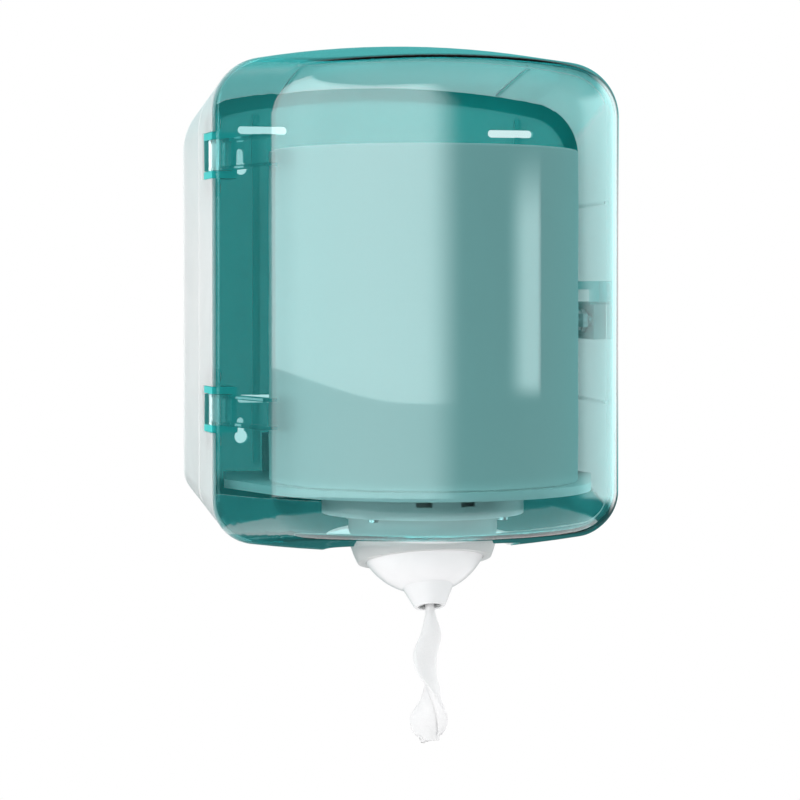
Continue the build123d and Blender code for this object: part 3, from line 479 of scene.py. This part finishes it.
def effect(tree, name, inputs):
    """Places a node group, made on first use, in a material."""
    held = bpy.data.node_groups.get(name) or GROUPS[name]()
    return node(tree, "ShaderNodeGroup", inputs, node_tree=held)


# Materials


def blank(name):
    """A new material with an empty node tree and its output."""
    material = bpy.data.materials.new(name)
    material.use_nodes = True
    material.node_tree.nodes.clear()
    return material, material.node_tree, material.node_tree.nodes.new("ShaderNodeOutputMaterial")


def finish_with(name, effect_name, inputs, depth, metallic=0.0, milky=0.0, shine=0.5, lining=None):
    """A Principled surface whose colour, roughness and bump come from one node group, its colour lined if asked."""
    material, tree, out = blank(name)
    look = effect(tree, effect_name, inputs)
    if lining:
        tree.links.new(effect(tree, "lining", lining).outputs["Colour"], look.inputs["Colour"])
    bump = node(tree, "ShaderNodeBump", {"Height": look.outputs["Height"], "Distance": depth, "Strength": 1.0})
    principled = node(tree, "ShaderNodeBsdfPrincipled", {
        "Base Color": look.outputs["Colour"],
        "Roughness": look.outputs["Roughness"],
        "Normal": bump.outputs["Normal"],
        "Metallic": metallic,
        "Specular IOR Level": shine,
        "Subsurface Weight": milky,
        "Subsurface Radius": (1.0, 1.0, 1.0),
        "Subsurface Scale": MILKY_DEPTH,
    })
    tree.links.new(principled.outputs[0], out.inputs["Surface"])
    return material


def moulded(name, tint, rough, grain=1600.0, spread=0.12, **options):
    """Moulded plastic in one colour, milky where light passes thin walls."""
    inputs = {"Colour": rgba(tint), "Grain": grain, "Roughness": rough, "Spread": spread}
    return finish_with(name, "moulded_grain", inputs, 0.012 * MM, **options)


def clear_plastic(name, tint, film, density):
    """Clear plastic, tinted by its depth.

    Lamps and bounced light pass it as a tinted film, so they reach the inside.
    """
    material, tree, out = blank(name)
    look = effect(tree, "clear_haze", {"Roughness": POLISH})
    principled = node(tree, "ShaderNodeBsdfPrincipled", {
        "Base Color": WHITE,
        "Roughness": look.outputs["Roughness"],
        "Transmission Weight": 1.0,
        "IOR": WALL_IOR,
        "Coat Weight": 1.0,
        "Coat Roughness": POLISH,
        "Coat IOR": FACE_IOR,
    })
    passed = node(tree, "ShaderNodeBsdfTransparent", {"Color": rgba(film)})
    path = node(tree, "ShaderNodeLightPath").outputs
    passes = calc(tree, "MAXIMUM", path["Is Shadow Ray"], path["Is Diffuse Ray"])
    mix = node(tree, "ShaderNodeMixShader", {0: passes, 1: principled.outputs[0], 2: passed.outputs[0]})
    tree.links.new(mix.outputs[0], out.inputs["Surface"])
    depth = node(tree, "ShaderNodeVolumeAbsorption", {"Color": rgba(tint), "Density": density})
    tree.links.new(depth.outputs[0], out.inputs["Volume"])
    return material


def dress(nodes, material):
    """Gives CAD nodes their finish."""
    for name in nodes:
        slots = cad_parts[name].data.materials
        slots.clear()
        slots.append(material)


# Surfaces


def smooth_rows(rows, count):
    """Rows carried along a cubic Hermite curve whose slopes are half the step between their neighbours."""
    at = np.linspace(0, len(rows) - 1, count)
    low = np.minimum(at.astype(int), len(rows) - 2)
    t = (at - low)[:, None]
    slope = np.gradient(rows, axis=0)
    a, b = rows[low], rows[low + 1]
    return (
        (2 * t**3 - 3 * t**2 + 1) * a
        + (t**3 - 2 * t**2 + t) * slope[low]
        + (3 * t**2 - 2 * t**3) * b
        + (t**3 - t**2) * slope[low + 1]
    )


def run_along(*steps):
    """The distance from the first point of a line to each point, from its coordinates."""
    return np.concatenate(([0], np.cumsum(np.sqrt(sum(np.diff(step) ** 2 for step in steps)))))


def grid_piece(name, points, uv, closed=False):
    """A mesh from a grid of points (rows, columns, 3), closed along both ways if asked, with its UV map."""
    rows, columns = points.shape[:2]
    index = np.arange(rows * columns).reshape(rows, columns)
    if closed:
        index = np.pad(index, ((0, 1), (0, 1)), mode="wrap")
    quads = np.stack((index[:-1, :-1], index[:-1, 1:], index[1:, 1:], index[1:, :-1]), axis=-1).reshape(-1, 4)
    mesh = bpy.data.meshes.new(name)
    mesh.from_pydata(points.reshape(-1, 3).tolist(), [], quads.tolist())
    layer = mesh.uv_layers.new(name="UVMap")
    layer.data.foreach_set("uv", uv.reshape(-1, 2)[quads.ravel()].astype(np.float32).ravel())
    mesh.polygons.foreach_set("use_smooth", np.ones(len(quads), bool))
    mesh.update()
    piece = bpy.data.objects.new(name, mesh)
    bpy.context.scene.collection.objects.link(piece)
    return piece


def rolled_sheet(name, rows, paper, torn):
    """A sheet rolled up loosely and flattened.

    A section at s across the sheet is (w/2 cos a, t/2 sin a) r with a = 2 pi n s and r running from 1 to the core's
    share, so n turns take up the sheet's whole width. Where the paper hangs loose its outer edge stands off by the
    flap's share times exp(-(n s/f)^2), f being the flap's turn. Creases swell r by sines of 3 a and 5 a that wander
    with d, the share of the length gone down, and the section is bowed by its width squared. It is carried down the
    rows, turned by their angle, and the end of the sheet is drawn up by d^6 times a sum of sines as its torn edge.
    """
    count, across = STRAND_GRID
    x, y, z, wide, thick, turn = smooth_rows(rows, count).T
    s = np.linspace(0, 1, across)[None, :]
    half_w, half_t = wide[:, None] / 2, thick[:, None] / 2
    around = np.pi * (3 * (half_w + half_t) - np.sqrt((3 * half_w + half_t) * (half_w + 3 * half_t)))
    down = np.linspace(0, 1, count)[:, None]
    loose = np.clip((down - LOOSE_FROM) / LOOSE_OVER, 0, 1) * (torn > 0)
    turns = paper.width / MM / (around * (1 + paper.core) / 2) / (1 + LOOSE_SLACK * loose)
    share = 1 - (1 - paper.core) * s + paper.flap * loose * np.exp(-((turns * s / FLAP_TURN) ** 2))
    a = 2 * np.pi * turns * s + SHEET_START
    fold_depth = 0.05 + 0.07 * loose * (1 - s) ** 8
    crease = 1 + fold_depth * np.sin(3 * a + 9 * down) + 0.03 * np.sin(5 * a - 14 * down + 1.1)
    u = half_w * share * crease * np.cos(a)
    v = half_t * share * crease * np.sin(a)
    v = v + 0.35 * half_t * (u / half_w) ** 2 - 0.2 * half_t
    bend = np.radians(turn)[:, None]
    px = x[:, None] + u * np.cos(bend) - v * np.sin(bend)
    py = y[:, None] + u * np.sin(bend) + v * np.cos(bend)
    tear = 0.5 + 0.28 * np.sin(31 * s) + 0.16 * np.sin(83 * s + 1) + 0.06 * np.sin(211 * s)
    pz = z[:, None] + torn * tear / MM * down**6
    along = run_along(x, y, z) * MM
    uv = np.stack(np.broadcast_arrays(s * paper.width, along[:, None]), axis=-1)
    piece = grid_piece(name, np.stack((px, py, pz), axis=-1) * MM, uv)
    wall = piece.modifiers.new("Thickness", "SOLIDIFY")
    wall.thickness = paper.thickness
    wall.offset = 0
    return piece, float(along[-1])


def wound_roll(name, paper):
    """A roll as a closed ring: its outline goes up the bore, out over the wound top, down the side and back under.

    With r and z in mm and q the angle round the axis, the top is rippled by h = ripple (1 + 0.6 sin 2 pi r/3.1 +
    0.4 sin(2 pi r/1.7 + sin 2 q)), the side swells by sin(2 pi z/61 + 2 q), and the bore's wall wanders by 0.5 mm
    sin(7 q + z/9) + 0.3 mm sin(13 q - z/5) between its ends. The last wrap ends in a step behind, where the grid and
    its UV map meet too.
    """
    low, high = ROLL_LOW.z / MM, ROLL_HIGH.z / MM
    radius = ROLL_RADIUS / MM
    flat = radius - ROLL_EDGE
    q = np.pi / 2 + np.linspace(0, 2 * np.pi, ROLL_COLUMNS, endpoint=False)[None, :]
    bend = np.linspace(0, np.pi / 2, EDGE_ROWS)[1:]
    top = np.linspace(ROLL_BORE, flat, TOP_ROWS)
    under = top[::-TOP_TO_UNDER][1:]
    side = np.linspace(high - ROLL_EDGE, low + ROLL_EDGE, SIDE_ROWS)[1:]
    runs = (
        (np.full(BORE_ROWS, ROLL_BORE), np.linspace(low, high, BORE_ROWS)),
        (top[1:], np.full(TOP_ROWS - 1, high)),
        (flat + ROLL_EDGE * np.sin(bend), high - ROLL_EDGE + ROLL_EDGE * np.cos(bend)),
        (np.full(SIDE_ROWS - 1, radius), side),
        (flat + ROLL_EDGE * np.cos(bend), low + ROLL_EDGE - ROLL_EDGE * np.sin(bend)),
        (under, np.full(len(under), low)),
    )
    r, z = (np.concatenate(held)[:, None] for held in zip(*runs))
    on_top = (z > high - NEAR) * (r > ROLL_BORE + 1)
    on_side = r > flat
    in_bore = (r < ROLL_BORE + NEAR) & (z > low + 1) & (z < high - 1)
    ripple = 0.6 * np.sin(2 * np.pi * r / 3.1) + 0.4 * np.sin(2 * np.pi * r / 1.7 + np.sin(2 * q))
    step = ROLL_STEP * ((q - np.pi / 2) % (2 * np.pi)) / (2 * np.pi)
    swell = ROLL_SWELL * (1 + np.sin(2 * np.pi * z / 61 + 2 * q))
    wander = 0.5 * np.sin(7 * q + z / 9) + 0.3 * np.sin(13 * q - z / 5)
    rr = r - on_side * (swell + step) + in_bore * wander
    zz = z - on_top * paper.ripple / MM * (1 + ripple)
    points = np.stack((ROLL_X / MM + rr * np.cos(q), ROLL_Y / MM + rr * np.sin(q), zz), axis=-1) * MM
    along = run_along(r[:, 0], z[:, 0]) * MM
    uv = np.stack(np.broadcast_arrays(q * radius * MM, along[:, None]), axis=-1)
    piece = grid_piece(name, points[::-1], uv[::-1], closed=True)
    ends = np.roll((np.abs(np.diff(np.append(z, z[0]))) < NEAR)[::-1], -1)
    piece.data.polygons.foreach_set("material_index", np.repeat(ends, q.size).astype(np.int32))
    return piece


# Operators


class DISPENSER_OT_case(bpy.types.Operator):
    """Finish the white mouldings of the case, the tray and the nozzle housing"""

    bl_idname = "dispenser.case"
    bl_label = "Case mouldings"

    def execute(self, context):
        colours = settings("dispenser_colours")
        dress(CASE_NODES, moulded("case_white", colours.case, 0.34, milky=0.7))
        tints = {"Colour": rgba(colours.case), "Floor": rgba(colours.floor), "Roof": rgba(colours.roof)}
        # Painted shade: the shell's floor faces inside are darkened to a near-black turquoise for the shade under the
        # tray, and its roof faces are tinted turquoise
        dress(SHELL_NODES, moulded("shell_white", colours.case, 0.34, milky=0.55, shine=0.35, lining=tints))
        return {"FINISHED"}


class DISPENSER_OT_plate(bpy.types.Operator):
    """Finish the turquoise back plate and the hinge brackets"""

    bl_idname = "dispenser.plate"
    bl_label = "Back plate"

    def execute(self, context):
        tint = settings("dispenser_colours").plate
        dress(PLATE_NODES, moulded("plate_teal", tint, 0.42, milky=0.35, shine=0.2))
        return {"FINISHED"}


class DISPENSER_OT_cover(bpy.types.Operator):
    """Finish the clear cover, its hinge arms and its strike"""

    bl_idname = "dispenser.cover"
    bl_label = "Clear cover"

    def execute(self, context):
        colours = settings("dispenser_colours")
        dress(COVER_NODES, clear_plastic("cover_clear", colours.cover, colours.film, COVER_DENSITY))
        dress(ARM_NODES, clear_plastic("arm_clear", colours.arms, colours.film, ARM_DENSITY))
        return {"FINISHED"}


class DISPENSER_OT_nozzle(bpy.types.Operator):
    """Finish the collar, the ball, its outlet and the paper brake"""

    bl_idname = "dispenser.nozzle"
    bl_label = "Nozzle"

    def execute(self, context):
        colours = settings("dispenser_colours")
        dress(COLLAR_NODES, moulded("collar_grey", colours.collar, 0.36))
        dress(BALL_NODES, moulded("ball_white", colours.ball, 0.24, grain=2400.0, spread=0.08))
        dress(BRAKE_NODES, moulded("brake_grey", colours.brake, 0.6))
        return {"FINISHED"}


class DISPENSER_OT_hardware(bpy.types.Operator):
    """Finish the screws, the hinge pins and the lock"""

    bl_idname = "dispenser.hardware"
    bl_label = "Hardware"

    def execute(self, context):
        steel = rgba(settings("dispenser_colours").steel)
        for nodes, name, rough in ((SCREW_NODES, "screw_steel", 0.3), (LOCK_NODES, "lock_steel", 0.38)):
            inputs = {"Colour": steel, "Roughness": rough}
            dress(nodes, finish_with(name, "brushed", inputs, 0.01 * MM, metallic=1.0))
        return {"FINISHED"}


class DISPENSER_OT_roll(bpy.types.Operator):
    """Make the roll of paper"""

    bl_idname = "dispenser.roll"
    bl_label = "Paper roll"

    def execute(self, context):
        tint = rgba(settings("dispenser_colours").paper)
        piece = wound_roll("wound_roll", settings("dispenser_paper"))
        inputs = {"Colour": tint, "Crinkle": 24.0, "Emboss": 0.35}
        side = finish_with("paper_side", "tissue", inputs, 0.03 * MM, shine=PAPER_SHINE)
        ends = finish_with("paper_ends", "wound_edges", {"Colour": tint}, 0.1 * MM, shine=PAPER_SHINE)
        piece.data.materials.append(side)
        piece.data.materials.append(ends)
        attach(piece, "case")
        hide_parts("paper_roll")
        return {"FINISHED"}


class DISPENSER_OT_strand(bpy.types.Operator):
    """Make the paper that runs from the roll and hangs from the outlet"""

    bl_idname = "dispenser.strand"
    bl_label = "Paper strand"

    def execute(self, context):
        paper = settings("dispenser_paper")
        tint = rgba(settings("dispenser_colours").strand)
        inputs = {"Colour": tint, "Emboss": 0.6, "Crinkle": 150.0}
        tissue = finish_with("paper_strand", "tissue", inputs, 0.06 * MM, shine=PAPER_SHINE)
        for name, rows, torn, body, stands_for, above in (
            ("hanging_paper", TAIL_ROWS, paper.ragged, "ball", "paper_tail", "paper_brake"),
            ("drawn_paper", FEED_ROWS, 0.0, "case", "paper_feed", "wound_roll"),
        ):
            piece, run = rolled_sheet(name, rows, paper, torn)
            piece.data.materials.append(tissue)
            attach(piece, body)
            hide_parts(stands_for)
        return {"FINISHED"}


class DISPENSER_OT_stage(bpy.types.Operator):
    """Set the camera, the floor, the light and the white background"""

    bl_idname = "dispenser.stage"
    bl_label = "Stage"

    def execute(self, context):
        stage = settings("dispenser_stage")
        scene = context.scene
        scene.view_settings.view_transform = "Standard"
        data = bpy.data.cameras.new("camera")
        data.lens, data.sensor_width = stage.lens, SENSOR_WIDTH
        data.shift_y = stage.shift
        camera = bpy.data.objects.new("camera", data)
        scene.collection.objects.link(camera)
        camera.location = stage.place
        camera.rotation_euler = (math.pi / 2 - stage.pitch, 0, -stage.yaw)
        scene.camera = camera
        for name, place, aim, size, power in LAMPS:
            self.hang_lamp(scene, name, place, aim, size, getattr(stage, power))
        self.light_room(scene, stage)
        self.lay_floor()
        return {"FINISHED"}

    def hang_lamp(self, scene, name, place, aim, size, power):
        """A rectangular lamp at a place, turned to a point. Gloss sees the room's own picture of it instead."""
        data = bpy.data.lights.new(name, "AREA")
        data.shape = "RECTANGLE"
        data.size, data.size_y = size
        data.energy = power
        lamp = bpy.data.objects.new(name, data)
        scene.collection.objects.link(lamp)
        lamp.location = place
        lamp.visible_glossy = lamp.visible_transmission = False
        x, y, z = np.subtract(aim, place)
        lamp.rotation_euler = (math.atan2(math.hypot(x, y), -z), 0, math.atan2(-x, y))

    def light_room(self, scene, stage):
        """A room that is lighter above the horizon, with a white backdrop for what looks straight at it.

        Gloss, and what is mirrored inside clear plastic, sees a dark room with a long softbox round its left side, a
        lit strip and a panel at the right, the backdrop, and a coloured card behind, overhead and at the left.
        """
        world = bpy.data.worlds.new("room")
        scene.world = world
        world.use_nodes = True
        tree = world.node_tree
        tree.nodes.clear()
        way = node(tree, "ShaderNodeTexCoord").outputs["Generated"]
        way = node(tree, "ShaderNodeSeparateXYZ", {0: way}).outputs
        around = calc(tree, "ARCTAN2", *(calc(tree, "MULTIPLY", way[axis], -1.0) for axis in "XY"))
        up = calc(tree, "ARCSINE", way["Z"])

        def patch(sides, heights):
            """One inside a patch of the room, from its fading edges."""
            edges = [ranged(tree, around, *edge) for edge in sides] + [ranged(tree, up, *edge) for edge in heights]
            return fold(tree, "MULTIPLY", *edges)

        # The softbox has a dimmer lower part under a step that climbs to the left
        over = calc(tree, "SUBTRACT", up, ranged(tree, around, *BOX_STEP))
        parts = ranged(tree, over, *STEP_BLUR, stage.low, stage.box)
        box = fold(tree, "MULTIPLY", parts, patch(BOX_SIDES, BOX_HEIGHTS), ranged(tree, around, *BOX_FALL))
        strip = calc(tree, "MULTIPLY", patch(STRIP_SIDES, STRIP_HEIGHTS), stage.strip)
        panel = calc(tree, "MULTIPLY", patch(PANEL_SIDES, PANEL_HEIGHTS), stage.side)

        # The backdrop, and where the card colours what gloss sees
        behind = ranged(tree, way["Y"], *BACKDROP)
        high = calc(tree, "MULTIPLY", behind, ranged(tree, calc(tree, "ABSOLUTE", up), *CARD_FROM_HORIZON))
        flank = calc(tree, "MULTIPLY", ranged(tree, around, *FLANK), less(tree, behind))
        card = fold(tree, "MAXIMUM", high, ranged(tree, up, *OVERHEAD), flank)
        behind = fold(
            tree, "MULTIPLY", behind, ranged(tree, up, *BACKDROP_OVER), ranged(tree, up, *BACKDROP_UNDER)
        )
        behind = calc(tree, "MAXIMUM", behind, ranged(tree, up, *OVERHEAD, 0.0, OVERHEAD_LEVEL))
        dark = ranged(tree, around, *FLANK, *ROOM_DARK)
        picture = fold(tree, "ADD", box, strip, panel, behind, dark, calc(tree, "MULTIPLY", flank, FLANK_LEVEL))

        # Which rays see what
        path = node(tree, "ShaderNodeLightPath").outputs
        direct = calc(tree, "LESS_THAN", path["Glossy Depth"], 0.5)
        mirrored = calc(tree, "MULTIPLY", path["Is Transmission Ray"], less(tree, direct))
        gloss = calc(tree, "MAXIMUM", path["Is Glossy Ray"], mirrored)
        clear = calc(tree, "MAXIMUM", *(ranged(tree, way["Z"], *edge) for edge in (WHITE_OVER, WHITE_UNDER)))
        straight = fold(tree, "MULTIPLY", path["Is Transmission Ray"], direct, clear)
        shown = calc(tree, "MAXIMUM", path["Is Camera Ray"], straight)
        room = ranged(tree, way["Z"], *HORIZON, stage.ground, stage.sky)
        strength = choose(tree, shown, choose(tree, gloss, room, picture), 1.0)
        coloured = fold(tree, "MULTIPLY", card, gloss, less(tree, shown))
        tint = mixed(tree, coloured, WHITE, rgba(stage.card))
        glow = node(tree, "ShaderNodeBackground", {"Color": tint, "Strength": strength})
        out = node(tree, "ShaderNodeOutputWorld")
        tree.links.new(glow.outputs[0], out.inputs[0])

    def lay_floor(self):
        """A pale floor well under the hanging paper, white to what looks straight at it."""
        across = np.linspace(-FLOOR_REACH, FLOOR_REACH, 3)
        x, y = np.meshgrid(across, across)
        points = np.stack((x, y, np.full_like(x, FLOOR_HEIGHT)), axis=-1)
        floor = grid_piece("floor", points, points[..., :2])
        material, tree, out = blank("pale_floor")
        matt = node(tree, "ShaderNodeBsdfDiffuse", {"Color": FLOOR_GREY})
        white = node(tree, "ShaderNodeEmission", {"Color": WHITE, "Strength": 1.0})
        path = node(tree, "ShaderNodeLightPath").outputs
        seen = calc(tree, "MAXIMUM", path["Is Camera Ray"], path["Is Transmission Ray"])
        mix = node(tree, "ShaderNodeMixShader", {0: seen, 1: matt.outputs[0], 2: white.outputs[0]})
        tree.links.new(mix.outputs[0], out.inputs["Surface"])
        floor.data.materials.append(material)


OPERATORS = (
    DISPENSER_OT_case, DISPENSER_OT_plate, DISPENSER_OT_cover, DISPENSER_OT_nozzle, DISPENSER_OT_hardware,
    DISPENSER_OT_roll, DISPENSER_OT_strand, DISPENSER_OT_stage,
)

GROUP_PROPERTIES = {
    "dispenser_colours": DispenserColours,
    "dispenser_paper": DispenserPaper,
    "dispenser_stage": DispenserStage,
}


class DISPENSER_PT_panel(bpy.types.Panel):
    """The dispenser's pieces and stage"""

    bl_idname = "DISPENSER_PT_panel"
    bl_label = "Paper dispenser"
    bl_space_type = "VIEW_3D"
    bl_region_type = "UI"
    bl_category = "Dispenser"

    def draw(self, context):
        for operator in OPERATORS:
            self.layout.operator(operator.bl_idname)
        for name in GROUP_PROPERTIES:
            box = self.layout.box()
            held = getattr(context.scene, name)
            for key in held.__annotations__:
                box.prop(held, key)


def register():
    """Registers the classes and puts the settings on the scene."""
    for kind in (*GROUP_PROPERTIES.values(), *OPERATORS, DISPENSER_PT_panel):
        bpy.utils.register_class(kind)
    for name, kind in GROUP_PROPERTIES.items():
        setattr(bpy.types.Scene, name, bpy.props.PointerProperty(type=kind))


def unregister():
    """Takes the settings and the classes away again."""
    for name in GROUP_PROPERTIES:
        delattr(bpy.types.Scene, name)
    for kind in (DISPENSER_PT_panel, *reversed(OPERATORS), *GROUP_PROPERTIES.values()):
        bpy.utils.unregister_class(kind)


def main():
    """Dresses the solids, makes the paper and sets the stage."""
    register()
    bpy.ops.dispenser.case()
    bpy.ops.dispenser.plate()
    bpy.ops.dispenser.cover()
    bpy.ops.dispenser.nozzle()
    bpy.ops.dispenser.hardware()
    bpy.ops.dispenser.roll()
    bpy.ops.dispenser.strand()
    bpy.ops.dispenser.stage()


if __name__ == "__main__":
    main()
